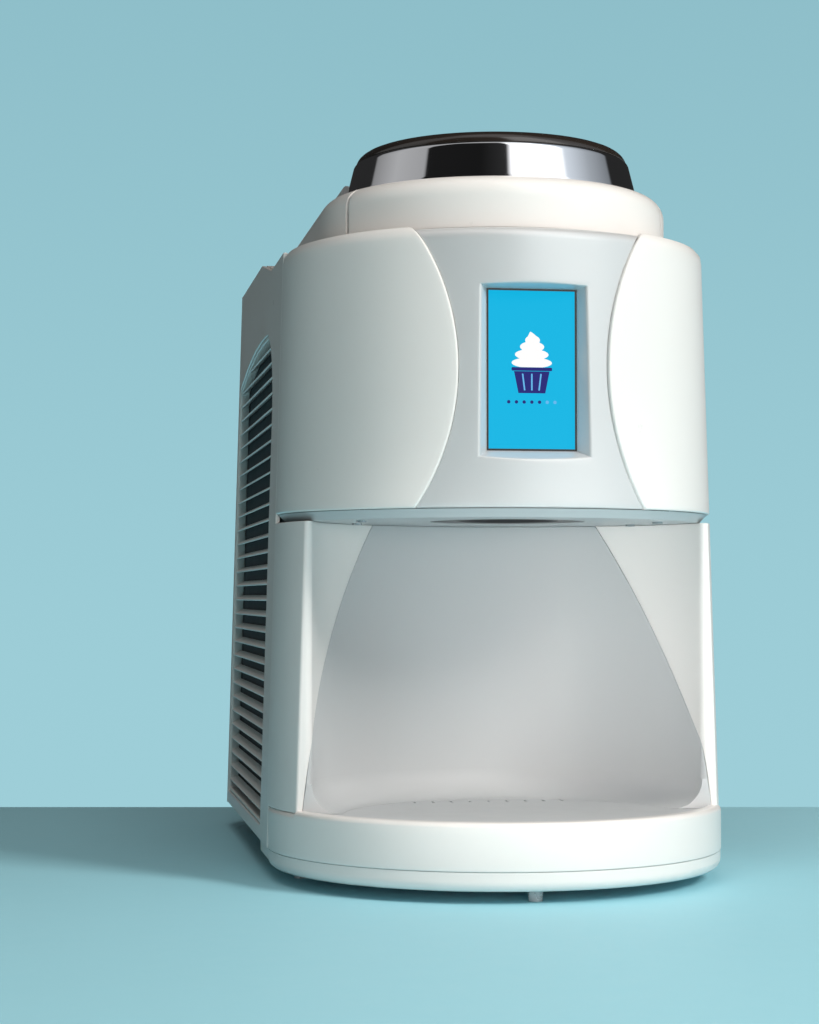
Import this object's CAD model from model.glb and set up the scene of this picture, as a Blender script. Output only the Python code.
"""Soft-serve maker: a drum-fronted machine with a display, a dispensing bay and a round lid.

Shapes are in mm with the lid axis at x = y = 0: front is -Y, the machine's right-hand
pieces are at +X, Z is up. build_mesh moves them into the CAD frame, in metres.
"""
import math
import bmesh
import bpy
import numpy as np
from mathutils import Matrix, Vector


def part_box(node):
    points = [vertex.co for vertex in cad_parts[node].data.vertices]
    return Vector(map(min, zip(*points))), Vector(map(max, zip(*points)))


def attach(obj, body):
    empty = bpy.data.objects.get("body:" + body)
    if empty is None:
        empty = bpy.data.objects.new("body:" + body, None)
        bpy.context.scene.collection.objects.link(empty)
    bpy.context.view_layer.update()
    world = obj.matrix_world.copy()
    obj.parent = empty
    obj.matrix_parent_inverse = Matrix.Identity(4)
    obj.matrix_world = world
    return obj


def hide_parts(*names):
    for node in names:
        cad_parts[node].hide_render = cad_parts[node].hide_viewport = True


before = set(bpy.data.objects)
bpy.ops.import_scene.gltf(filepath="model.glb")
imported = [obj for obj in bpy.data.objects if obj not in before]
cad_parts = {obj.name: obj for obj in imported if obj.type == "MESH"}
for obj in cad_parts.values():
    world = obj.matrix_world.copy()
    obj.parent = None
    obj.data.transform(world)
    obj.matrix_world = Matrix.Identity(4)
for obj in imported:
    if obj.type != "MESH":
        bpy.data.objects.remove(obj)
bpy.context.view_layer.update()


MM = 0.001
LID_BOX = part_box("lid_top")
AXIS_Y = round((LID_BOX[0].y + LID_BOX[1].y) / 2 / MM, 2)    # lid axis in the CAD frame
REAR_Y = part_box("left_side_panel")[1].y / MM - AXIS_Y

# ---------------------------------------------------------------- driving dimensions
HEAD_TOP, HEAD_BOTTOM = 392.4, 226.4
HEAD_R = 133.3           # drum radius at HEAD_TOP
DRAFT = 0.0271           # growth of the drum radius per mm downwards
LOBE_X, LOBE_Z, LOBE_R = 198.0, 309.0, 153.0    # circle that bounds each front lobe
BAY_R, BAY_Y = 123.4, -78.4                     # bay wall: radius and centre
BAY_TOP = 220.8


def drum_radius(z):
    return HEAD_R + (HEAD_TOP - z) * DRAFT


def lobe_angle(r, z, gap=0.0):
    """Angle from the front at which the lobe circle, grown by gap, crosses radius r."""
    half_width = LOBE_X - math.sqrt((LOBE_R + gap) ** 2 - (z - LOBE_Z) ** 2)
    return math.asin(half_width / r)


# ---------------------------------------------------------------- points and stations
def steps(start, end, count):
    return [start + (end - start) * i / count for i in range(count + 1)]


def eased(size, count):
    """Stations from 0 towards size, closest together at 0; size itself is left out."""
    return [size * (1 - math.cos(math.pi / 2 * i / count)) for i in range(count)]


def edged_steps(start, end, count, start_rim=0.0, end_rim=0.0):
    """Even stations, with extra fine ones for a rounded edge at either end."""
    length = end - start
    start_rim, end_rim = min(start_rim, length * 0.4), min(end_rim, length * 0.4)
    out = [start + x for x in eased(start_rim, 3)] if start_rim else []
    out += steps(start + start_rim, end - end_rim, count)
    out += [end - x for x in reversed(eased(end_rim, 3))] if end_rim else []
    return out


def arc(centre_x, centre_y, radius, start, end, count):
    """Points on an arc; angles in degrees."""
    return [(centre_x + radius * math.cos(math.radians(angle)),
             centre_y + radius * math.sin(math.radians(angle)))
            for angle in steps(start, end, count)]


def dedupe(points):
    out = []
    for point in points:
        if not out or math.dist(point, out[-1]) > 0.02:
            out.append(point)
    return out


def rounded_rect(centre_x, centre_y, width, height, radius, count):
    points = []
    for sign_x, sign_y, start in ((1, -1, -90), (1, 1, 0), (-1, 1, 90), (-1, -1, 180)):
        points += arc(centre_x + sign_x * (width / 2 - radius),
                      centre_y + sign_y * (height / 2 - radius),
                      radius, start, start + 90, count)
    return dedupe(points)


def lengths(points):
    """Running length along a polyline."""
    out = [0.0]
    for a, b in zip(points, points[1:]):
        out.append(out[-1] + math.dist(a, b))
    return out


def resample(points, stations):
    """Points of a polyline at the given running lengths."""
    along = lengths(points)
    out = []
    for station in stations:
        station = min(max(station, 0.0), along[-1])
        k = next(i for i in range(len(along) - 1) if along[i + 1] >= station)
        part = (station - along[k]) / (along[k + 1] - along[k])
        out.append(tuple(a + (b - a) * part for a, b in zip(points[k], points[k + 1])))
    return out


# ---------------------------------------------------------------- mesh helpers
def build_mesh(name, verts, faces, material, slot=None, replaces=(), body="machine_body",
               sharp=32):
    """Object from mm vertices; the slot is the material's name unless one is given."""
    mesh = bpy.data.meshes.new(name)
    mesh.from_pydata([(x * MM, (y + AXIS_Y) * MM, z * MM) for x, y, z in verts], [], faces)
    mesh.update()
    mesh.materials.append(MATERIALS[material])
    bm = bmesh.new()
    bm.from_mesh(mesh)
    bmesh.ops.remove_doubles(bm, verts=bm.verts, dist=2e-6)
    bmesh.ops.dissolve_degenerate(bm, edges=bm.edges, dist=2e-6)
    loose = [v for v in bm.verts if not v.link_faces]
    bmesh.ops.delete(bm, geom=loose, context="VERTS")
    bmesh.ops.recalc_face_normals(bm, faces=bm.faces)
    for face in bm.faces:
        face.smooth = True
    for edge in bm.edges:
        if len(edge.link_faces) == 2:
            edge.smooth = edge.calc_face_angle(0) < math.radians(sharp)
    bm.to_mesh(mesh)
    bm.free()
    obj = bpy.data.objects.new(name, mesh)
    bpy.context.scene.collection.objects.link(obj)
    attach(obj, body)
    if replaces:
        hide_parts(*replaces)


def thick_grid(points, normals, edge_i, edge_j, thick, rim, skip=None, keep_open=None):
    """Thickened grid of outer points with its outer edges rounded by rim.

    edge_i and edge_j are the distances to the nearest edge in each direction.
    skip(i, j) leaves a cell out. Open edges get a wall, but for those that
    keep_open(a, b) picks out, which are given back.
    """
    count_i, count_j = points.shape[:2]
    verts, outer, inner = [], {}, {}
    for i in range(count_i):
        for j in range(count_j):
            near = math.hypot(max(0.0, rim - edge_i[i][j]), max(0.0, rim - edge_j[i][j]))
            near = min(near, rim)
            drop = rim - math.sqrt(max(rim * rim - near * near, 0.0))
            outer[i, j] = len(verts)
            verts.append(tuple(points[i, j] - normals[i, j] * drop))
    for i in range(count_i):
        for j in range(count_j):
            inner[i, j] = len(verts)
            verts.append(tuple(points[i, j] - normals[i, j] * thick))
    cells = {(i, j) for i in range(count_i - 1) for j in range(count_j - 1)
             if not (skip and skip(i, j))}
    faces, edges = [], []
    for i, j in cells:
        quad = [(i, j), (i + 1, j), (i + 1, j + 1), (i, j + 1)]
        faces.append([outer[key] for key in quad])
        faces.append([inner[key] for key in reversed(quad)])
        edges += zip(quad, quad[1:] + quad[:1])
    known = set(edges)
    left_open = []
    for a, b in edges:
        if (b, a) in known:
            continue
        if keep_open and keep_open(a, b):
            left_open.append((a, b))
        else:
            faces.append([outer[b], outer[a], inner[a], inner[b]])
    return verts, faces, outer, inner, left_open


def profile_stations(profile, rim, count, keep_points):
    """Running lengths along a profile, finer within rim of both ends."""
    own = lengths(profile)
    length = own[-1]
    rim = min(rim, length * 0.45)
    ends = eased(rim, 4)
    wanted = ends + steps(rim, length - rim, count) + [length - x for x in reversed(ends)]
    if keep_points:
        wanted += own
    stations = []
    for station in sorted({round(x, 4) for x in wanted}):
        if not stations or station - stations[-1] > 0.04:
            stations.append(station)
    if length - stations[-1] < 0.04:
        stations[-1] = length
    return stations


def strip_angles(r, marks, counts, rim):
    """Angles through the strips between marks, finer within rim of the outer two."""
    angles = []
    last = len(counts) - 1
    for k, (start, end) in enumerate(zip(marks, marks[1:])):
        count = counts[k]
        width = (end - start) * r
        edge = min(rim, width * 0.4)
        ends = eased(edge, 4)
        first_even = edge if k == 0 else width / count
        last_even = width - edge if k == last else width
        local = ends if k == 0 else [0.0]
        local = local + steps(first_even, last_even, count - 1)[:count if k == last else -1]
        if k == last:
            local += [width - x for x in reversed(ends)]
        angles += [start + x / r for x in local]
    return angles


def polar_grid(profile, bounds, counts, rim, stations, keep_points=False):
    """Grid for thick_grid: an (r, z) profile, run upwards, turned round the lid axis.

    bounds are functions of (r, z) giving the angles between the strips, measured from
    the front and positive to +X; counts are the steps in each strip.
    """
    profile = dedupe(profile)
    along = profile_stations(profile, rim, stations, keep_points)
    ring = resample(profile, along)
    points, normals, edge_i, edge_j = [], [], [], []
    for k, ((r, z), station) in enumerate(zip(ring, along)):
        before, after = ring[max(k - 1, 0)], ring[min(k + 1, len(ring) - 1)]
        dr, dz = after[0] - before[0], after[1] - before[1]
        size = math.hypot(dr, dz)
        normal_r, normal_z = dz / size, -dr / size
        marks = [bound(r, z) for bound in bounds]
        angles = strip_angles(r, marks, counts, rim)
        points.append([(r * math.sin(a), -r * math.cos(a), z) for a in angles])
        normals.append([(normal_r * math.sin(a), -normal_r * math.cos(a), normal_z)
                        for a in angles])
        edge_i.append([min(a - marks[0], marks[-1] - a) * r for a in angles])
        edge_j.append([min(station, along[-1] - station)] * len(angles))
    return [np.array(rows).swapaxes(0, 1) for rows in (points, normals, edge_i, edge_j)]


def polar_sheet(name, profile, bounds, count, thick, rim, stations, **part):
    grid = polar_grid(profile, bounds, [count], rim, stations)
    verts, faces = thick_grid(*grid, thick, rim)[:2]
    build_mesh(name, verts, faces, **part)


def sheet(name, rows, thick, rim, flip=False, **part):
    """Solid sheet behind rows of points; flip turns its outside round."""
    points = np.array(rows).swapaxes(0, 1)
    normals = np.cross(np.gradient(points, axis=0), np.gradient(points, axis=1))
    normals /= np.maximum(np.linalg.norm(normals, axis=2, keepdims=True), 1e-12)
    if flip:
        normals = -normals
    along_i, along_j = np.zeros(points.shape[:2]), np.zeros(points.shape[:2])
    along_i[1:] = np.cumsum(np.linalg.norm(np.diff(points, axis=0), axis=2), axis=0)
    along_j[:, 1:] = np.cumsum(np.linalg.norm(np.diff(points, axis=1), axis=2), axis=1)
    edge_i = np.minimum(along_i, along_i[-1:] - along_i)
    edge_j = np.minimum(along_j, along_j[:, -1:] - along_j)
    verts, faces = thick_grid(points, normals, edge_i, edge_j, thick, rim)[:2]
    build_mesh(name, verts, faces, **part)


def skin(rings):
    """Quads between consecutive closed rings of vertex numbers."""
    return [[a[i], a[(i + 1) % len(a)], b[(i + 1) % len(a)], b[i]]
            for a, b in zip(rings, rings[1:]) for i in range(len(a))]


def tube(rows, first=0, looped=False):
    """Vertices and faces of a tube through rows of points, numbered from first.

    A looped tube joins its last row to its first; any other is capped.
    """
    size = len(rows[0])
    rings = [[first + i * size + k for k in range(size)] for i in range(len(rows))]
    verts = [point for row in rows for point in row]
    if looped:
        return verts, skin(rings + rings[:1])
    return verts, skin(rings) + [rings[0], rings[-1][::-1]]


def unload(bm):
    """Vertices and faces of a bmesh, which is freed."""
    bm.verts.index_update()
    verts = [tuple(v.co) for v in bm.verts]
    faces = [[v.index for v in f.verts] for f in bm.faces]
    bm.free()
    return verts, faces


def facing_front(y):
    return (0, y, 0), (1, 0, 0), (0, 0, 1), (0, -1, 0)


def facing_up(z):
    return (0, 0, z), (1, 0, 0), (0, 1, 0), (0, 0, 1)


def plate(name, outline, holes, plane, thick, bevel=0, segments=3, **part):
    """Flat plate with holes; plane is origin, two in-plane axes and the outward normal."""
    origin, across, up, normal = map(np.array, plane)
    bm = bmesh.new()
    edges = []
    for loop in [outline, *holes]:
        verts = [bm.verts.new(tuple(origin + across * p[0] + up * p[1])) for p in loop]
        edges += [bm.edges.new(pair) for pair in zip(verts, verts[1:] + verts[:1])]
    bmesh.ops.triangle_fill(bm, use_beauty=True, use_dissolve=False, edges=edges)
    for face in bm.faces:
        face.normal_update()
        if face.normal.dot(Vector(tuple(normal))) < 0:
            face.normal_flip()
    extruded = bmesh.ops.extrude_face_region(bm, geom=list(bm.faces))
    moved = [g for g in extruded["geom"] if isinstance(g, bmesh.types.BMVert)]
    bmesh.ops.translate(bm, verts=moved, vec=Vector(tuple(-normal * thick)))
    bmesh.ops.recalc_face_normals(bm, faces=bm.faces)
    if bevel > 0:
        corners = [e for e in bm.edges
                   if len(e.link_faces) == 2 and e.calc_face_angle(0) > math.radians(60)]
        bmesh.ops.bevel(bm, geom=corners, offset=bevel, segments=segments, profile=0.6,
                        affect="EDGES", clamp_overlap=True)
    build_mesh(name, *unload(bm), sharp=40, **part)


def rounded_box(name, half_x, y_range, z_range, radius, segments, **part):
    bm = bmesh.new()
    corners = [bm.verts.new((x, y, z)) for x in (-half_x, half_x)
               for y in y_range for z in z_range]
    for quad in ((0, 1, 3, 2), (4, 6, 7, 5), (0, 4, 5, 1), (2, 3, 7, 6), (0, 2, 6, 4),
                 (1, 5, 7, 3)):
        bm.faces.new([corners[k] for k in quad])
    bmesh.ops.recalc_face_normals(bm, faces=bm.faces)
    bmesh.ops.bevel(bm, geom=list(bm.edges), offset=radius, segments=segments, profile=0.5,
                    affect="EDGES", clamp_overlap=True)
    build_mesh(name, *unload(bm), sharp=40, **part)


# ---------------------------------------------------------------- materials
MATERIALS = {}


def noise(tree, coords, scale, detail, roughness, stretch=None):
    node = tree.nodes.new("ShaderNodeTexNoise")
    node.inputs["Scale"].default_value = scale
    node.inputs["Detail"].default_value = detail
    node.inputs["Roughness"].default_value = roughness
    if stretch:
        mapping = tree.nodes.new("ShaderNodeMapping")
        mapping.inputs["Scale"].default_value = stretch
        tree.links.new(coords, mapping.inputs["Vector"])
        coords = mapping.outputs[0]
    tree.links.new(coords, node.inputs["Vector"])
    return node.outputs["Fac"]


def remap(tree, value, low, high):
    """Spread the middle half of a noise over low..high."""
    node = tree.nodes.new("ShaderNodeMapRange")
    node.inputs["From Min"].default_value = 0.25
    node.inputs["From Max"].default_value = 0.75
    node.inputs["To Min"].default_value = low
    node.inputs["To Max"].default_value = high
    tree.links.new(value, node.inputs["Value"])
    return node.outputs[0]


def surface(name, color, rough, spread, bump, mottle, mottle_scale=14.0, grain=900.0,
            bump_depth=0.02, metallic=0.0, coat=0.0, coat_rough=0.08, specular=0.5,
            transmission=0.0, emission=None, emission_strength=0.0, stretch=None,
            anisotropy=0.0):
    """Plastic, paint or metal, kept in MATERIALS under its name.

    mottle drifts the tone, spread wanders the roughness, and bump is the strength of
    a fine grain, with grain its noise scale and bump_depth in mm.
    """
    material = bpy.data.materials.new(name)
    material.use_nodes = True
    tree = material.node_tree
    tree.nodes.clear()
    output = tree.nodes.new("ShaderNodeOutputMaterial")
    shader = tree.nodes.new("ShaderNodeBsdfPrincipled")
    tree.links.new(shader.outputs[0], output.inputs[0])
    coords = tree.nodes.new("ShaderNodeTexCoord").outputs["Object"]

    drift = noise(tree, coords, scale=mottle_scale, detail=4.0, roughness=0.55)
    mix = tree.nodes.new("ShaderNodeMix")
    mix.data_type = "RGBA"
    tree.links.new(remap(tree, drift, 0.0, 1.0), mix.inputs[0])
    mix.inputs[6].default_value = (*[c * (1 - mottle) for c in color], 1)
    mix.inputs[7].default_value = (*[min(1.0, c * (1 + mottle)) for c in color], 1)
    tree.links.new(mix.outputs[2], shader.inputs["Base Color"])

    wander = noise(tree, coords, scale=55.0, detail=5.0, roughness=0.6, stretch=stretch)
    tree.links.new(remap(tree, wander, rough - spread, rough + spread),
                   shader.inputs["Roughness"])

    height = noise(tree, coords, scale=grain, detail=2.0, roughness=0.6, stretch=stretch)
    bump_node = tree.nodes.new("ShaderNodeBump")
    bump_node.inputs["Strength"].default_value = bump
    bump_node.inputs["Distance"].default_value = bump_depth * MM
    tree.links.new(height, bump_node.inputs["Height"])
    tree.links.new(bump_node.outputs[0], shader.inputs["Normal"])

    values = {"Metallic": metallic, "Specular IOR Level": specular, "IOR": 1.5,
              "Coat Weight": coat, "Coat Roughness": coat_rough,
              "Transmission Weight": transmission, "Anisotropic": anisotropy}
    if emission:
        values["Emission Color"] = (*emission, 1)
        values["Emission Strength"] = emission_strength
    for key, value in values.items():
        shader.inputs[key].default_value = value
    MATERIALS[name] = material


def screen_surface(name, color, rough, emission, emission_strength):
    surface(name, color, rough=rough, spread=0.02, bump=0.0, mottle=0.0, specular=0.04,
            emission=emission, emission_strength=emission_strength)


def linear(*rgb):
    """Linear colour from 0-255 sRGB."""
    return tuple((c / 255) / 12.92 if c / 255 <= 0.04045 else ((c / 255 + 0.055) / 1.055) ** 2.4
                 for c in rgb)


surface("white_shell", (0.800, 0.787, 0.762), rough=0.30, spread=0.03, bump=0.05,
        mottle=0.008, coat=0.25, coat_rough=0.12)
surface("white_bay", (0.780, 0.770, 0.750), rough=0.34, spread=0.03, bump=0.05,
        mottle=0.008, coat=0.15, coat_rough=0.15)
surface("vent_white", (0.74, 0.75, 0.73), rough=0.42, spread=0.04, bump=0.10, mottle=0.012)
surface("silver_fascia", (0.630, 0.645, 0.650), rough=0.34, spread=0.03, bump=0.06,
        mottle=0.01, metallic=0.25, coat=0.2, coat_rough=0.15, grain=2600.0)
surface("grey_plastic", (0.500, 0.520, 0.530), rough=0.36, spread=0.04, bump=0.10,
        mottle=0.012)
surface("black_plastic", (0.022, 0.022, 0.024), rough=0.38, spread=0.06, bump=0.15,
        mottle=0.05)
surface("screen_border", (0.004, 0.005, 0.007), rough=0.07, spread=0.02, bump=0.0,
        mottle=0.0, coat=1.0, coat_rough=0.02)
screen_surface("screen_lit", (0.01, 0.03, 0.04), rough=0.10,
               emission=(0.0, 0.452, 0.752), emission_strength=0.98)
screen_surface("screen_white", (0.2, 0.2, 0.2), rough=0.12,
               emission=(0.86, 0.83, 0.83), emission_strength=0.92)
screen_surface("screen_navy", (0.01, 0.01, 0.04), rough=0.12,
               emission=(0.018, 0.018, 0.16), emission_strength=0.9)
screen_surface("screen_pale", (0.05, 0.1, 0.14), rough=0.12,
               emission=(0.10, 0.42, 0.78), emission_strength=0.9)
surface("lid_chrome", (0.84, 0.85, 0.88), rough=0.055, spread=0.015, bump=0.012,
        mottle=0.01, metallic=1.0, bump_depth=0.01, grain=500.0)
surface("lid_dark", (0.020, 0.015, 0.012), rough=0.16, spread=0.03, bump=0.03,
        mottle=0.05, coat=0.6, coat_rough=0.06)
surface("lid_white", (0.74, 0.74, 0.72), rough=0.45, spread=0.05, bump=0.12, mottle=0.015)
surface("clear_foot", (0.72, 0.80, 0.83), rough=0.28, spread=0.05, bump=0.08, mottle=0.02,
        transmission=0.55)
surface("sheet_steel", (0.42, 0.43, 0.44), rough=0.42, spread=0.08, bump=0.10, mottle=0.04,
        metallic=0.9, stretch=(1, 1, 14), anisotropy=0.4)
surface("cup_aluminium", (0.62, 0.63, 0.65), rough=0.30, spread=0.08, bump=0.10,
        mottle=0.03, metallic=1.0, stretch=(1, 1, 30))
surface("copper_tube", (0.62, 0.30, 0.17), rough=0.30, spread=0.08, bump=0.08, mottle=0.08,
        metallic=1.0)
surface("foam", (0.030, 0.030, 0.033), rough=0.88, spread=0.06, bump=0.7, mottle=0.15,
        grain=500.0, bump_depth=0.25)
surface("seal_rubber", (0.045, 0.046, 0.050), rough=0.62, spread=0.06, bump=0.2,
        mottle=0.06)
surface("machined_steel", (0.55, 0.56, 0.58), rough=0.28, spread=0.08, bump=0.08,
        mottle=0.03, metallic=1.0)
surface("nozzle_plastic", (0.62, 0.64, 0.66), rough=0.40, spread=0.05, bump=0.12,
        mottle=0.015)
surface("compressor_black", (0.018, 0.018, 0.020), rough=0.45, spread=0.10, bump=0.25,
        mottle=0.10, coat=0.2)
surface("condenser_alu", (0.46, 0.47, 0.49), rough=0.40, spread=0.08, bump=0.12,
        mottle=0.05, metallic=1.0)
surface("board_green", (0.010, 0.110, 0.045), rough=0.40, spread=0.06, bump=0.15,
        mottle=0.08, coat=0.3)
surface("switch_red", (0.42, 0.020, 0.014), rough=0.25, spread=0.04, bump=0.08,
        mottle=0.03, coat=0.3)

# ---------------------------------------------------------------- head
HEAD_EDGE_R = 7          # rounding of the head's top edge
HEAD_OPENING_R = 112.8
SIDE_ANGLE = math.pi / 2 - 0.0012    # where the lobes stop, just short of the sides


def head_profile(inset, extra=()):
    """Head section (r, z), drawn in by inset; extra heights get their own points."""
    top = HEAD_TOP - inset
    bend = top - HEAD_EDGE_R
    edge_x = drum_radius(bend) - inset - HEAD_EDGE_R
    heights = {round(z, 3) for z in steps(HEAD_BOTTOM, bend, 30) + list(extra)}
    points = [(drum_radius(z) - inset, z) for z in sorted(heights)]
    points += arc(edge_x, bend, HEAD_EDGE_R, 0, 90, 12)
    return points + [(r, top) for r in steps(edge_x, HEAD_OPENING_R, 4)]


def lobe(side, bounds):
    polar_sheet(f"{side}_lobe", head_profile(0), bounds, 48, thick=3.0, rim=1.2, stations=44,
                material="white_shell", replaces=(f"{side}_front_panel",))


lobe("left", [lambda r, z: -SIDE_ANGLE, lambda r, z: -lobe_angle(r, z)])
lobe("right", [lobe_angle, lambda r, z: SIDE_ANGLE])

# Centre fascia, with the sloped surround of the display in one skin
FASCIA_INSET, FASCIA_GAP = 1.8, 0.7
CUT_X, CUT_Z0, CUT_Z1 = 36.0, 251.5, 360.0    # piece cut out of the grid for the surround
FLOOR_X, FLOOR_Z0, FLOOR_Z1, FLOOR_Y = 26.95, 260.0, 355.0, -122.0    # surround's inner edge
OPEN_SIDE, OPEN_TOP, OPEN_BOTTOM = 0.66, 0.21, 0.42    # opening per mm of depth
LIP_Y = FLOOR_Y + 0.24                        # underside of the surround's inner edge
BACK_X, BACK_Z0, BACK_HEIGHT, BACK_Y = 29.2, 257.8, 99.4, -114.0    # wall behind that edge
SOFT = 1.5                                    # reach of the rounding at the outer edge


def fascia_y(x, z):
    return -math.sqrt((drum_radius(z) - FASCIA_INSET) ** 2 - x * x)


def surround_line(x, z):
    """Points from (x, z) on the cut edge, down the slope and round its inner edge."""
    across = max(-1.0, min(1.0, x / CUT_X))
    up = max(0.0, min(1.0, (z - CUT_Z0) / (CUT_Z1 - CUT_Z0)))
    depth = 9.0
    for _ in range(12):      # settle on the depth at which the slope meets the fascia
        low, high = FLOOR_Z0 - OPEN_BOTTOM * depth, FLOOR_Z1 + OPEN_TOP * depth
        rim_x, rim_z = across * (FLOOR_X + OPEN_SIDE * depth), low + up * (high - low)
        depth = -fascia_y(rim_x, rim_z) + FLOOR_Y
    floor_x, floor_z = across * FLOOR_X, FLOOR_Z0 + up * (FLOOR_Z1 - FLOOR_Z0)
    rim = np.array([rim_x, FLOOR_Y - depth, rim_z])
    floor = np.array([floor_x, FLOOR_Y, floor_z])
    outward = np.array([rim_x - floor_x, rim_z - floor_z])
    outward /= np.linalg.norm(outward)
    reach = min(SOFT, math.hypot(x - rim_x, z - rim_z) * 0.7)
    start_x, start_z = rim_x + outward[0] * reach, rim_z + outward[1] * reach
    start = np.array([start_x, fascia_y(start_x, start_z), start_z])
    slope = floor - rim
    slope_length = np.linalg.norm(slope)
    end = rim + slope * min(SOFT / slope_length, 0.4)
    points = [start]
    for t in (0.2, 0.4, 0.6, 0.8):
        points.append(start * (1 - t) ** 2 + rim * 2 * t * (1 - t) + end * t * t)
    back_x, back_z = across * BACK_X, BACK_Z0 + up * BACK_HEIGHT
    return points + [
        end, end + (floor - end) * 0.35, end + (floor - end) * 0.7,
        floor - slope / slope_length * 0.3, floor + np.array([0, 0.12, 0]),
        (floor_x, LIP_Y, floor_z), (back_x, LIP_Y, back_z), (back_x, BACK_Y, back_z)]


def centre_fascia():
    bounds = [lambda r, z: -lobe_angle(r, z, FASCIA_GAP), lambda r, z: -math.asin(CUT_X / r),
              lambda r, z: math.asin(CUT_X / r), lambda r, z: lobe_angle(r, z, FASCIA_GAP)]
    grid = polar_grid(head_profile(FASCIA_INSET, (CUT_Z0, CUT_Z1)), bounds, [16, 26, 16],
                      rim=1.0, stations=44, keep_points=True)
    points = grid[0]

    def in_cut(i, j):
        x, _, z = (points[i, j] + points[i + 1, j + 1]) / 2
        return abs(x) < CUT_X and CUT_Z0 < z < CUT_Z1

    def at_cut(key):
        x, _, z = points[key]
        return abs(x) < CUT_X + 0.1 and CUT_Z0 - 0.1 < z < CUT_Z1 + 0.1

    verts, faces, outer, inner, cut_edges = thick_grid(
        *grid, thick=3.0, rim=1.0, skip=in_cut, keep_open=lambda a, b: at_cut(a) and at_cut(b))
    lines = {}

    def line(key):
        """Vertex numbers from the outer skin, along the surround, to the inner skin."""
        if key not in lines:
            x, _, z = points[key]
            first = len(verts)
            verts.extend(tuple(p) for p in surround_line(x, z))
            lines[key] = [outer[key], *range(first, len(verts)), inner[key]]
        return lines[key]

    for a, b in cut_edges:
        line_a, line_b = line(a), line(b)
        for k in range(len(line_a) - 1):
            faces.append([line_b[k], line_a[k], line_a[k + 1], line_b[k + 1]])
    build_mesh("centre_fascia_skin", verts, faces, material="silver_fascia",
               replaces=("centre_fascia", "display_frame"), sharp=34)


centre_fascia()

# ---------------------------------------------------------------- display
rounded_box("display_pane", 28.9, (-121.7, -119.7), (258.2, 356.8), radius=0.25, segments=3,
            material="screen_border", slot="screen", replaces=("display_glass",))
rounded_box("display_lit_area", 25.75, (-121.79, -121.69), (261.2, 353.9), radius=0.03,
            segments=2, material="screen_lit", slot="screen")

DECAL_Y = -121.84        # front of the shapes on the lit area
RIB_Y = -121.89          # front of the ribs on the cup shape
SWIRL_BOTTOM, SWIRL_TIP, SWIRL_TOP = 309.0, 325.5, 329.8
# Swirl tiers: centre x, centre z, half width, half height
SWIRL_TIERS = [(0.0, 311.6, 12.0, 3.1), (0.0, 316.4, 10.0, 3.2), (0.2, 321.0, 7.2, 3.1),
               (0.5, 324.8, 4.4, 2.9)]


def decal(name, outline, material, y=DECAL_Y):
    """Thin raised shape on the lit display."""
    plate(f"display_glyph_{name}", outline, [], facing_front(y), thick=0.05,
          material=material, slot="screen")


def swirl_outline():
    """Three-tier swirl with a curled tip."""
    right, left = [], []
    for z in steps(SWIRL_BOTTOM, SWIRL_TOP, 84):
        high, low = -1e9, 1e9
        for centre_x, centre_z, half_width, half_height in SWIRL_TIERS:
            t = 1 - ((z - centre_z) / half_height) ** 2
            if t > 0:
                high = max(high, centre_x + half_width * math.sqrt(t))
                low = min(low, centre_x - half_width * math.sqrt(t))
        if SWIRL_TIP <= z <= SWIRL_TOP:
            t = (z - SWIRL_TIP) / (SWIRL_TOP - SWIRL_TIP)
            centre_x = 0.5 - 1.3 * t * t
            half_width = 3.6 * max(0.0, 1 - t) ** 0.8 + 0.12
            high, low = max(high, centre_x + half_width), min(low, centre_x - half_width)
        if high > low:
            right.append((high, z))
            left.append((low, z))
    return dedupe(right + left[::-1])


decal("swirl", swirl_outline(), "screen_white")
decal("cup_rim", rounded_rect(0, 307.9, 24.2, 2.0, 0.6, 6), "screen_navy")
decal("cup", [(-10.6, 306.6), (-8.0, 293.8), (8.0, 293.8), (10.6, 306.6)], "screen_navy")
for k, place in enumerate((-0.55, 0.0, 0.55)):
    top, bottom, half = place * 10.0, place * 7.8, 0.45
    decal(f"rib_{k + 1}", [(bottom - half, 295.4), (bottom + half, 295.4),
                           (top + half, 305.2), (top - half, 305.2)], "screen_pale", RIB_Y)
for k in range(7):
    decal(f"dot_{k + 1}", arc((k - 3) * 4.6, 288.6, 1.0, 0, 345, 23),
          "screen_navy" if k < 5 else "screen_pale")

# ---------------------------------------------------------------- collar and lid
COLLAR_R, COLLAR_EDGE_R, COLLAR_BEND = 110.0, 13, 413.0
COLLAR_TOP = COLLAR_BEND + COLLAR_EDGE_R
COLLAR_HALF = math.radians(63.7)
LID_R, LID_BAND_Z = 93.1, 426.9
LID_NOTCH = math.asin(15.4 / 88)     # half angle of the gap at the back of the band

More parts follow.
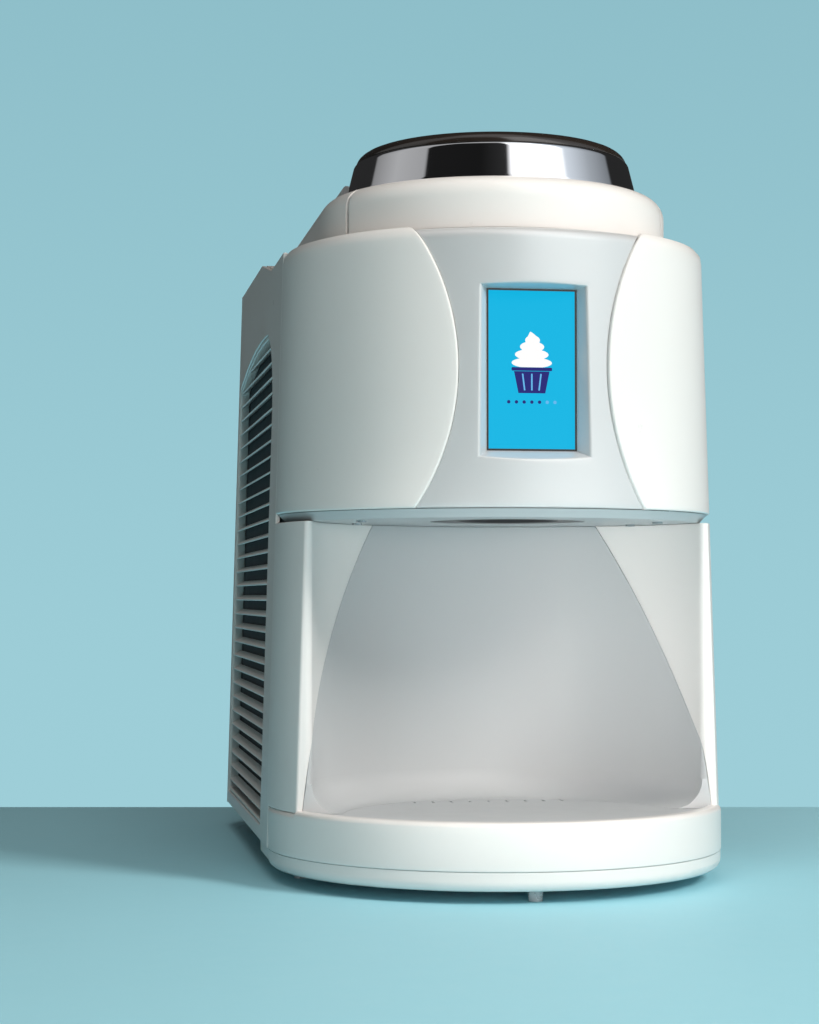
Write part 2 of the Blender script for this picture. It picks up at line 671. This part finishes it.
# (r, z) profiles
COLLAR = [(COLLAR_R, z) for z in steps(393.0, COLLAR_BEND, 6)]
COLLAR += arc(COLLAR_R - COLLAR_EDGE_R, COLLAR_BEND, COLLAR_EDGE_R, 0, 90, 16)
COLLAR += [(95.6, COLLAR_TOP), (94.3, COLLAR_TOP)]
LID_BAND = [(92.75, 426.4), (LID_R, LID_BAND_Z)]
LID_BAND += [(LID_R - 5.1 * t, LID_BAND_Z + 20.4 * t) for t in steps(0.06, 1.0, 16)]
LID_BAND += [(87.8, 447.8), (87.5, 448.3), (87.1, 448.75), (86.5, 449.0)]
LID_CAP = [
    (0.0, 447.2), (40.0, 447.2), (80.0, 447.2), (84.0, 447.2), (84.2, 449.1), (85.9, 449.15),
    (86.3, 449.4), (86.35, 450.0), (85.7, 451.5), (84.7, 453.0), (83.2, 454.4), (81.2, 455.7),
    (78.6, 456.7), (75.5, 457.3), (72.0, 457.5), (55.0, 457.5), (30.0, 457.5), (0.0, 457.5)]


def lid_cap():
    """The cap's profile turned round the lid axis, with one vertex at each pole."""
    count = 200
    verts, rings = [], []
    for r, z in LID_CAP:
        first = len(verts)
        if r == 0:
            verts.append((0.0, 0.0, z))
            rings.append([first] * count)
        else:
            verts += [(x, y, z) for x, y in arc(0.0, 0.0, r, 0.0, 360.0, count)[:-1]]
            rings.append(list(range(first, len(verts))))
    faces = [list(dict.fromkeys(quad)) for quad in skin(rings)]
    build_mesh("lid_cap", verts, faces, material="lid_dark", replaces=("lid_top",), body="lid")


polar_sheet("lid_collar", COLLAR, [lambda r, z: -COLLAR_HALF, lambda r, z: COLLAR_HALF], 120,
            thick=2.6, rim=0.8, stations=30, material="white_shell",
            replaces=("front_collar",))
polar_sheet("lid_chrome_band", LID_BAND,
            [lambda r, z: -math.pi + LID_NOTCH, lambda r, z: math.pi - LID_NOTCH], 220,
            thick=2.2, rim=0.5, stations=24, material="lid_chrome", replaces=("lid_band",),
            body="lid", sharp=50)
lid_cap()

# ---------------------------------------------------------------- dispensing bay
COLUMN_Y = -57.0         # front faces of the columns beside the bay
COLUMN_EDGE_R = 2.0      # rounding between a column's face and the drum


def arch_half(z):
    """Half width of the bay's arched back at height z."""
    return -336.5 + math.sqrt(465.7 ** 2 - (z + 0.5) ** 2)


def bay_line(z):
    """Right half of the bay's plan line at height z, and four lengths along it.

    It runs from the back centre round the bay wall, over the column's front face and
    back along the drum. The lengths are those at the arch edge, the end of the wall,
    the end of the column's outer rounding and the end of the line.
    """
    drum = drum_radius(z)
    edge_y = COLUMN_Y + COLUMN_EDGE_R
    edge_x = math.sqrt((drum - COLUMN_EDGE_R) ** 2 - edge_y ** 2)
    wall_x = math.sqrt(BAY_R ** 2 - (COLUMN_Y - BAY_Y) ** 2)
    fillet = min(5.0, (edge_x - 0.15 - wall_x) / 0.83)
    fillet_y = COLUMN_Y + fillet
    fillet_x = math.sqrt((BAY_R + fillet) ** 2 - (fillet_y - BAY_Y) ** 2)
    points = [(BAY_R * math.sin(a), BAY_Y + BAY_R * math.cos(a))
              for a in steps(0, math.atan2(fillet_x, fillet_y - BAY_Y), 60)]
    wall_end = len(points) - 1
    fillet_start = math.degrees(math.atan2(-(fillet_y - BAY_Y), -fillet_x)) + 360
    points += arc(fillet_x, fillet_y, fillet, fillet_start, 270, 10)[1:]
    points.append((edge_x, COLUMN_Y))
    edge_angle = math.degrees(math.atan2(edge_y, edge_x))
    points += arc(edge_x, edge_y, COLUMN_EDGE_R, -90, edge_angle, 8)[1:]
    edge_end = len(points) - 1
    drum_start = math.degrees(math.atan2(points[-1][1], points[-1][0]))
    points += arc(0, 0, drum, drum_start, math.degrees(math.asin(-0.1 / drum)), 20)[1:]
    along = lengths(points)
    limit = arch_half(z)
    k = next(i for i in range(1, len(points)) if points[i][0] >= limit)
    part = (limit - points[k - 1][0]) / (points[k][0] - points[k - 1][0])
    arch = along[k - 1] + (along[k] - along[k - 1]) * part
    return points, arch, along[wall_end], along[edge_end], along[-1]


def column(name, side):
    """Skin of the column beside the bay; side is -1 for left, 1 for right."""
    rows = []
    for z in edged_steps(45.25, BAY_TOP, 46, 0.6, 0.6):
        points, arch, wall_end, edge_end, end = bay_line(z)
        start = arch + 0.18
        face_start = max(wall_end, start + 0.6)
        drum_start = max(edge_end, face_start + 2.0)
        stations = edged_steps(start, face_start, 14, start_rim=0.35)
        stations += edged_steps(face_start, drum_start, 26)[1:]
        stations += edged_steps(drum_start, end, 16, end_rim=0.5)[1:]
        rows.append([(side * x, y, z) for x, y in resample(points, stations)])
    sheet(f"{name}_column", rows, thick=1.8, rim=0.45, flip=side < 0, material="white_bay",
          slot="white_shell", replaces=(f"{name}_bay_cheek",))


def bay_back():
    rows = []
    for z in edged_steps(44.6, BAY_TOP, 46, end_rim=0.4):
        points, arch, wall_end, _, _ = bay_line(z)
        end = arch - 0.16
        middle = min(wall_end, end - 0.8)
        stations = steps(0, middle, 30) + edged_steps(middle, end, 12, end_rim=0.3)[1:]
        half = resample(points, stations)
        rows.append([(-x, y, z) for x, y in reversed(half)] + [(x, y, z) for x, y in half[1:]])
    sheet("bay_back", rows, thick=2.2, rim=0.35, material="grey_plastic",
          replaces=("bay_back_panel",))


COVE_Z = 62.4            # top of the cove between the tray and the bay wall
COVE_END = 22.2          # distance of the cove's ends behind BAY_Y
# (r, z) about the bay's centre
COVE = [(104.95, 44.5), (105.4, 44.55)] + arc(105.4, COVE_Z, 17.9, -86, 0, 14)


def bay_cove():
    rows = []
    for r, z in COVE:
        half = math.acos(COVE_END / r)
        rows.append([(r * math.sin(a), BAY_Y + r * math.cos(a), z)
                     for a in steps(-half, half, 96)])
    sheet("bay_cove", rows, thick=1.4, rim=0.0, material="grey_plastic")
    right = [(math.sqrt(r * r - COVE_END ** 2), z) for r, z in COVE[1:]]
    right += [(124.4, COVE_Z), (126.2, 53.0), (126.9, 44.55)]
    left = [(-x, z) for x, z in right]
    for name, outline in (("left", left), ("right", right[::-1])):
        plate(f"{name}_cove_end", outline, [], facing_front(COLUMN_Y), thick=3.0, bevel=0.2,
              segments=2, material="grey_plastic")


column("left", -1)
column("right", 1)
bay_back()
bay_cove()


# ---------------------------------------------------------------- drip tray
def tray_outline(inset=0.0):
    front_r, back_r, end_y = 136.5 - inset, 104.75 - inset, -57.4 - inset
    front = math.degrees(math.atan2(-57.3 - inset * 0.3, 123.9 - inset))
    points = arc(0, 0, front_r, 180 - front, 360 + front, 96)
    end_x = math.sqrt(back_r ** 2 - (end_y - BAY_Y) ** 2)
    back = math.degrees(math.atan2(end_y - BAY_Y, end_x))
    return dedupe(points + arc(0, BAY_Y, back_r, back, 180 - back, 110))


TRAY_SLOTS = [rounded_rect(i * 12, 11.0, 2.0, 10.0, 0.95, 5) for i in range(-4, 5)]
plate("drip_tray_plate", tray_outline(), TRAY_SLOTS, facing_up(44.4), thick=1.9, bevel=0.5,
      material="grey_plastic", body="tray", replaces=("drip_tray",))
plate("drip_tray_pan", tray_outline(0.9), [], facing_up(42.45), thick=8.4, bevel=1.2,
      material="grey_plastic", body="tray")

# ---------------------------------------------------------------- plinth
PLINTH_R, PLINTH_INNER_R = 142.6, 137.0
PLINTH_OFFSET = 5        # outer circle's centre, in front of the lid axis
PLINTH_TOP, PLINTH_SIDE_TOP = 46.5, 45.0
PLINTH_FRONT = math.degrees(math.acos(52 / 140.0))    # half angle of the taller front part
PLINTH_EDGE_R, PLINTH_SMALL_R = 3, 0.8
PLINTH_LOW, PLINTH_INNER_Z = 19.4, 31.0    # start of the bottom rounding, inner foot
STEP_WIDTH = 0.06        # degrees over which the top steps down


def plinth_section(inner, top):
    """Closed (r, z) section about the outer circle's centre, from the inner foot up."""
    bend_r, bend_z = PLINTH_R - PLINTH_EDGE_R, top - PLINTH_EDGE_R
    small = PLINTH_SMALL_R
    points = [(inner, PLINTH_INNER_Z), (inner, top - small)]
    points += arc(inner + small, top - small, small, 180, 90, 4)[1:]
    points += [(inner + (bend_r - inner) * t, top) for t in (0.35, 0.65, 1.0)]
    points += arc(bend_r, bend_z, PLINTH_EDGE_R, 90, 0, 10)[1:]
    points += [(PLINTH_R, z) for z in steps(bend_z, PLINTH_LOW, 8)][1:]
    points += arc(PLINTH_R - small, PLINTH_LOW, small, 0, -90, 4)[1:]
    return points + [(139.5, PLINTH_LOW - small), (139.5, PLINTH_INNER_Z)]


def plinth():
    front, offset = PLINTH_FRONT, PLINTH_OFFSET
    angles = {round(a, 5) for a in steps(-89.96, 89.96, 168)}
    angles |= {-front, -front + STEP_WIDTH, front - STEP_WIDTH, front}
    rows = []
    for angle in sorted(angles):
        top = PLINTH_TOP if abs(angle) < front - STEP_WIDTH / 2 else PLINTH_SIDE_TOP
        cos, sin = math.cos(math.radians(angle)), math.sin(math.radians(angle))
        inner = -offset * cos + math.sqrt(offset ** 2 * (cos * cos - 1) + PLINTH_INNER_R ** 2)
        rows.append([(r * sin, -offset - r * cos, z) for r, z in plinth_section(inner, top)])
    build_mesh("plinth_ring", *tube(rows), material="white_shell", replaces=("plinth_band",),
               sharp=34)


plinth()

# ---------------------------------------------------------------- sides and louvres
VENT_FRONT, VENT_REAR, VENT_BOTTOM = 45, 303, 28
VENT_CORNER_R, VENT_CORNER_Z = 60, 292       # large rounding at the top front
VENT_CORNER_Y = VENT_FRONT + VENT_CORNER_R
VENT_ARC_R, VENT_ARC_Y, VENT_ARC_Z = 869, 125, -518    # shallow arc along the top
LOUVRE_INSET = 2.2
# Side skin outline (y, z)
SIDE_OUTLINE = [(-4.5, 18.8), (REAR_Y - 0.1, 18.8), (REAR_Y - 0.1, 405.8), (150, 405.8),
                (80, 392.2), (0.4, 392.2), (0.4, 46.9), (-4.5, 46.9)]
# Lip section (along the side, outwards)
LIP_SECTION = [(-1.2, -3.0), (1.2, -3.0), (1.2, 2.2), (0.8, 2.75), (0.0, 3.0), (-0.8, 2.75),
               (-1.2, 2.2)]
# Louvre section (depth, height): tipped outwards and down, with a rounded nose
LOUVRE_SECTION = [
    (1.2, -1.95), (0.95, -1.6), (1.0, -1.0), (1.45, -0.62), (5.9, 2.0), (6.2, 1.75),
    (6.2, 0.9), (5.9, 0.55), (2.0, -1.85), (1.6, -2.0)]


def vent_top(y, inset):
    """Top of the vent opening at depth y, drawn in by inset."""
    top = VENT_ARC_Z + math.sqrt((VENT_ARC_R - inset) ** 2 - (y - VENT_ARC_Y) ** 2)
    if y < VENT_CORNER_Y:
        rise = (VENT_CORNER_R - inset) ** 2 - (VENT_CORNER_Y - y) ** 2
        top = min(top, VENT_CORNER_Z + math.sqrt(max(rise, 0.0)))
    return top


def vent_loop(inset=0.0):
    """Outline (y, z) of the vent opening, drawn in by inset."""
    front, rear, bottom = VENT_FRONT + inset, VENT_REAR - inset, VENT_BOTTOM + inset
    small, large = 4.0 - inset * 0.3, VENT_CORNER_R - inset
    points = arc(front + small, bottom + small, small, 180, 270, 5)
    points += arc(rear - small, bottom + small, small, 270, 360, 5)
    points += [(rear, z) for z in steps(bottom + small, vent_top(rear, inset) - 3, 10)][1:]
    points += [(y, vent_top(y, inset)) for y in steps(rear - 2.5, VENT_CORNER_Y, 50)]
    for angle in steps(4, 90, 22):
        y = VENT_CORNER_Y - large * math.sin(math.radians(angle))
        z = VENT_CORNER_Z + large * math.cos(math.radians(angle))
        points.append((y, min(vent_top(y, inset), z)))
    points += [(front, z) for z in steps(VENT_CORNER_Z, bottom + small, 12)][1:-1]
    return dedupe(points)


def louvre_span(z):
    """Front and rear ends of the louvre at height z."""
    front, rear = VENT_FRONT + LOUVRE_INSET, VENT_REAR - LOUVRE_INSET
    if z > VENT_CORNER_Z:
        run = (VENT_CORNER_R - LOUVRE_INSET) ** 2 - (z - VENT_CORNER_Z) ** 2
        front = VENT_CORNER_Y - math.sqrt(max(run, 0.0))
    half = math.sqrt((VENT_ARC_R - LOUVRE_INSET) ** 2 - (z - VENT_ARC_Z) ** 2)
    return max(front, VENT_ARC_Y - half), min(rear, VENT_ARC_Y + half)


def lip_rows(path, outward):
    """LIP_SECTION set square to a closed path."""
    rows = []
    for k, point in enumerate(path):
        ahead = path[(k + 1) % len(path)] - path[k - 1]
        ahead = ahead / np.linalg.norm(ahead)
        sideways = np.cross(ahead, outward)
        sideways /= np.linalg.norm(sideways)
        up = np.cross(sideways, ahead)
        rows.append([point + sideways * x + up * y for x, y in LIP_SECTION])
    return rows


def side_panel(name, side):
    """Skin, lip, louvres and dust screen; side is -1 for left, 1 for right."""
    size = math.hypot(1, DRAFT)
    normal = np.array([side / size, 0, DRAFT / size])
    origin = np.array([side * drum_radius(0), 0, 0.0])
    upward = np.array([-side * DRAFT, 0, 1])

    def place(y, z, depth):
        return origin + np.array([0, y, 0]) + upward * z - normal * depth

    outline = []
    for a, b in zip(SIDE_OUTLINE, SIDE_OUTLINE[1:] + SIDE_OUTLINE[:1]):
        count = max(1, int(math.dist(a, b) / 30))
        outline += [(a[0] + (b[0] - a[0]) * i / count, a[1] + (b[1] - a[1]) * i / count)
                    for i in range(count)]
    plate(f"{name}_side_skin", outline, [vent_loop()], (origin, (0, 1, 0), upward, normal),
          thick=2.9, bevel=0.9, material="white_shell", replaces=(f"{name}_side_panel",))

    path = [place(y, z, 3.6) for y, z in vent_loop(1.7)]
    build_mesh(f"{name}_grille_lip", *tube(lip_rows(path, normal), looped=True),
               material="vent_white", replaces=(f"{name}_vent_grille",), sharp=35)

    verts, faces = [], []
    for centre in steps(VENT_BOTTOM, VENT_CORNER_Z + VENT_CORNER_R, 31)[1:-1]:
        front, rear = louvre_span(centre)
        stations = [front, front + 1.0] + steps(front + 12, rear - 12, 8) + [rear - 1.0, rear]
        rows = [[place(y, centre + height, depth) for depth, height in LOUVRE_SECTION]
                for y in stations]
        new_verts, new_faces = tube(rows, first=len(verts))
        verts += new_verts
        faces += new_faces
    build_mesh(f"{name}_louvres", verts, faces, material="vent_white", sharp=50)

    plate(f"{name}_dust_screen", vent_loop(2.4), [],
          (origin - normal * 7.0, (0, 1, 0), upward, normal), thick=0.8, bevel=0.15,
          segments=1, material="foam", slot="black_plastic")


side_panel("left", -1)
side_panel("right", 1)

# ---------------------------------------------------------------- CAD nodes kept as they are
# Material name, node names
KEPT = [
    ("white_shell", "top_cover left_corner_panel right_corner_panel rear_panel base_pan"),
    ("grey_plastic", "head_underside"),
    ("black_plastic", "display_module outlet_ring"),
    ("nozzle_plastic", "outlet_nozzle"),
    ("black_plastic", "outlet_shutter"),
    ("machined_steel", "shutter_pinion"),
    ("black_plastic", "shutter_motor"),
    ("grey_plastic", "bay_deck"),
    ("clear_foot", "feet"),
    ("sheet_steel", "chassis_frame well_shelf"),
    ("cup_aluminium", "chilling_well"),
    ("copper_tube", "evaporator_coil"),
    ("foam", "well_insulation"),
    ("grey_plastic", "well_collar"),
    ("lid_white", "lid_body"),
    ("seal_rubber", "lid_seal"),
    ("machined_steel", "lid_hinge_pin"),
    ("grey_plastic", "lid_hinge_brackets"),
    ("black_plastic", "mixer_motor"),
    ("machined_steel", "mixer_pinion mixer_gear"),
    ("black_plastic", "lid_latch_pad"),
    ("compressor_black", "compressor"),
    ("condenser_alu", "condenser"),
    ("black_plastic", "fan_shroud fan_rotor"),
    ("sheet_steel", "fan_motor"),
    ("copper_tube", "refrigerant_lines"),
    ("board_green", "control_board"),
    ("sheet_steel", "power_supply"),
    ("black_plastic", "power_inlet"),
    ("switch_red", "power_switch"),
    ("machined_steel", "ceiling_screws base_screws"),
]

for material, nodes in KEPT:
    for node in nodes.split():
        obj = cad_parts[node]
        obj.data.materials.clear()
        obj.data.materials.append(MATERIALS[material])
        obj.data.polygons.foreach_set("use_smooth", [True] * len(obj.data.polygons))
        obj.data.set_sharp_from_angle(angle=math.radians(28))

# Flat faces keep flat shading next to their rounded edges
for name in ("left_side_skin", "right_side_skin", "drip_tray_plate", "drip_tray_pan",
             "display_pane", "display_lit_area"):
    modifier = bpy.data.objects[name].modifiers.new("normals", "WEIGHTED_NORMAL")
    modifier.keep_sharp = True
    modifier.weight = 90

# ---------------------------------------------------------------- floor
CAMERA_YAW = math.radians(9.163)     # turned from +Y towards +X
CAMERA_PITCH = 2.204                 # degrees above level
CAMERA_AT = Vector((-274.4, -1374.2 + AXIS_Y, 175.1)) * MM
FLOOR_NEAR, FLOOR_FAR, FLOOR_HALF = -2.0, 1.838, 4    # metres, from the camera


def floor():
    surface("floor_pale", linear(167, 226, 240), rough=0.55, spread=0.05, bump=0.05,
            mottle=0.01, mottle_scale=2.0, specular=0.25)
    forward = Vector((math.sin(CAMERA_YAW), math.cos(CAMERA_YAW), 0))
    right = Vector((math.cos(CAMERA_YAW), -math.sin(CAMERA_YAW), 0))
    start = Vector((CAMERA_AT.x, CAMERA_AT.y, 0))
    corners = [(FLOOR_NEAR, -FLOOR_HALF), (FLOOR_NEAR, FLOOR_HALF),
               (FLOOR_FAR, FLOOR_HALF), (FLOOR_FAR, -FLOOR_HALF)]
    mesh = bpy.data.meshes.new("floor")
    mesh.from_pydata([tuple(start + forward * ahead + right * across)
                      for ahead, across in corners], [], [[0, 1, 2, 3]])
    mesh.materials.append(MATERIALS["floor_pale"])
    obj = bpy.data.objects.new("floor", mesh)
    bpy.context.scene.collection.objects.link(obj)


floor()


# ---------------------------------------------------------------- lights
def lamp(name, azimuth, elevation, distance, size, power, color, target=(0, -0.10, 0.22)):
    """Area lamp aimed at target; azimuth from the front, positive to +X. Metres, degrees."""
    light = bpy.data.lights.new(name, "AREA")
    light.shape = "RECTANGLE"
    light.size, light.size_y = size
    light.energy = power
    light.color = color
    obj = bpy.data.objects.new(name, light)
    turn, lift = math.radians(azimuth), math.radians(elevation)
    target = Vector(target)
    obj.location = target + Vector((math.sin(turn) * math.cos(lift),
                                    -math.cos(turn) * math.cos(lift),
                                    math.sin(lift))) * distance
    obj.rotation_euler = (target - obj.location).to_track_quat("-Z", "Y").to_euler()
    obj.visible_glossy = False
    obj.visible_camera = False
    bpy.context.scene.collection.objects.link(obj)
    return light


lamp("key", azimuth=40, elevation=33, distance=2.2, size=(0.55, 0.7), power=35,
     color=(1.0, 0.945, 0.90))
lamp("fill_top", azimuth=-15, elevation=72, distance=2.4, size=(1.6, 1.6), power=19,
     color=(1.0, 0.955, 0.92))
lamp("fill_left", azimuth=-60, elevation=22, distance=2.6, size=(1.4, 1.8), power=0.5,
     color=(1.0, 0.98, 0.96))
lamp("fill_front", azimuth=4, elevation=2, distance=2.3, size=(0.6, 0.4), power=14.0,
     color=(1.0, 0.905, 0.86), target=(0, -0.10, 0.15))
bay_light = lamp("fill_bay", azimuth=-30, elevation=-3, distance=0.42, size=(0.20, 0.12),
                 power=0.11, color=(1.0, 0.95, 0.92), target=(0.10, -0.12, 0.14))
bay_light.spread = math.radians(52)

# ---------------------------------------------------------------- world
NEUTRAL, COOL = (1, 1, 1), (0.86, 0.93, 1.0)
# Reflected surroundings: azimuth in degrees, brightness, tint
UPPER_BAND = [           # what the chrome lid band mirrors
    (-180, 0.012, NEUTRAL), (-128, 0.012, NEUTRAL), (-126, 0.14, NEUTRAL),
    (-100, 0.24, NEUTRAL), (-71, 0.20, NEUTRAL), (-69, 0.006, NEUTRAL), (-20, 0.005, NEUTRAL),
    (3, 0.015, NEUTRAL), (7, 0.7, NEUTRAL), (12, 1.0, NEUTRAL), (52, 0.95, NEUTRAL),
    (58, 0.45, COOL), (82, 0.24, COOL), (104, 0.13, COOL), (107, 0.012, NEUTRAL),
    (180, 0.012, NEUTRAL)]
LOWER_BAND = [           # what the upright faces mirror
    (-180, 0.04, NEUTRAL), (-130, 0.04, NEUTRAL), (-70, 0.06, NEUTRAL), (-30, 0.14, NEUTRAL),
    (0, 0.22, NEUTRAL), (20, 0.50, NEUTRAL), (30, 0.62, NEUTRAL), (46, 0.55, NEUTRAL),
    (62, 0.32, COOL), (110, 0.25, COOL), (180, 0.08, NEUTRAL)]


def make_world():
    """Separate surroundings for mirror rays, diffuse light and the camera."""
    world = bpy.data.worlds.new("studio")
    bpy.context.scene.world = world
    world.use_nodes = True
    tree = world.node_tree
    tree.nodes.clear()
    link = tree.links.new

    def calc(operation, *operands):
        node = tree.nodes.new("ShaderNodeMath")
        node.operation = operation
        for k, value in enumerate(operands):
            if isinstance(value, (int, float)):
                node.inputs[k].default_value = value
            else:
                link(value, node.inputs[k])
        return node.outputs[0]

    def ramp(position, stops):
        node = tree.nodes.new("ShaderNodeValToRGB")
        elements = node.color_ramp.elements
        elements.remove(elements[-1])
        for k, (azimuth, level, tint) in enumerate(stops):
            place = azimuth / 360 + 0.5
            element = elements.new(place) if k else elements[0]
            element.position = place
            element.color = (*[level * c for c in tint], 1)
        link(position, node.inputs[0])
        return node.outputs[0]

    def mix(factor, first, second):
        node = tree.nodes.new("ShaderNodeMix")
        node.data_type = "RGBA"
        link(factor, node.inputs[0])
        for k, value in ((6, first), (7, second)):
            if isinstance(value, tuple):
                node.inputs[k].default_value = (*value, 1)
            else:
                link(value, node.inputs[k])
        return node.outputs[2]

    def rise(value, start, end):
        """Smooth step from 0 at start to 1 at end."""
        node = tree.nodes.new("ShaderNodeMapRange")
        node.interpolation_type = "SMOOTHSTEP"
        node.inputs["From Min"].default_value = start
        node.inputs["From Max"].default_value = end
        link(value, node.inputs["Value"])
        return node.outputs[0]

    def background(color, strength):
        node = tree.nodes.new("ShaderNodeBackground")
        link(color, node.inputs[0])
        node.inputs[1].default_value = strength
        return node.outputs[0]

    def choose(ray, otherwise, chosen):
        node = tree.nodes.new("ShaderNodeMixShader")
        for k, source in enumerate((ray, otherwise, chosen)):
            link(source, node.inputs[k])
        return node.outputs[0]

    output = tree.nodes.new("ShaderNodeOutputWorld")
    coords = tree.nodes.new("ShaderNodeTexCoord")
    split = tree.nodes.new("ShaderNodeSeparateXYZ")
    link(coords.outputs["Generated"], split.inputs[0])
    x, y, z = split.outputs
    azimuth = calc("ARCTAN2", x, calc("MULTIPLY", y, -1.0))    # 0 at the front
    around = calc("ADD", calc("DIVIDE", azimuth, 2 * math.pi), 0.5)
    elevation = calc("MULTIPLY", calc("ARCSINE", z), 180 / math.pi)

    upper = ramp(around, UPPER_BAND)
    lower = ramp(around, LOWER_BAND)
    mirrored = mix(rise(elevation, 9.5, 13), lower, upper)
    mirrored = mix(rise(elevation, 66, 82), mirrored, (0.30, 0.30, 0.30))
    mirrored = mix(rise(elevation, -2, -12), mirrored, linear(110, 170, 185))
    backdrop = mix(rise(elevation, -6, 22), linear(158, 206, 216), linear(140, 188, 199))
    ambient = mix(rise(elevation, -20, 60), (0.52, 0.56, 0.57), (0.82, 0.79, 0.75))

    rays = tree.nodes.new("ShaderNodeLightPath").outputs
    mirrored = background(mirrored, strength=1.9)
    ambient = background(ambient, strength=0.15)
    backdrop = background(backdrop, strength=1.0)
    lighting = choose(rays["Is Glossy Ray"], ambient, mirrored)
    link(choose(rays["Is Camera Ray"], lighting, backdrop), output.inputs[0])


make_world()
bpy.context.scene.view_settings.view_transform = "Standard"


# ---------------------------------------------------------------- camera
def make_camera():
    data = bpy.data.cameras.new("camera")
    data.lens = 77.27
    data.sensor_width = 36
    data.clip_start = 0.05
    data.clip_end = 50
    camera = bpy.data.objects.new("camera", data)
    camera.location = CAMERA_AT
    camera.rotation_euler = (math.radians(90 + CAMERA_PITCH), 0, -CAMERA_YAW)
    bpy.context.scene.collection.objects.link(camera)
    bpy.context.scene.camera = camera


make_camera()
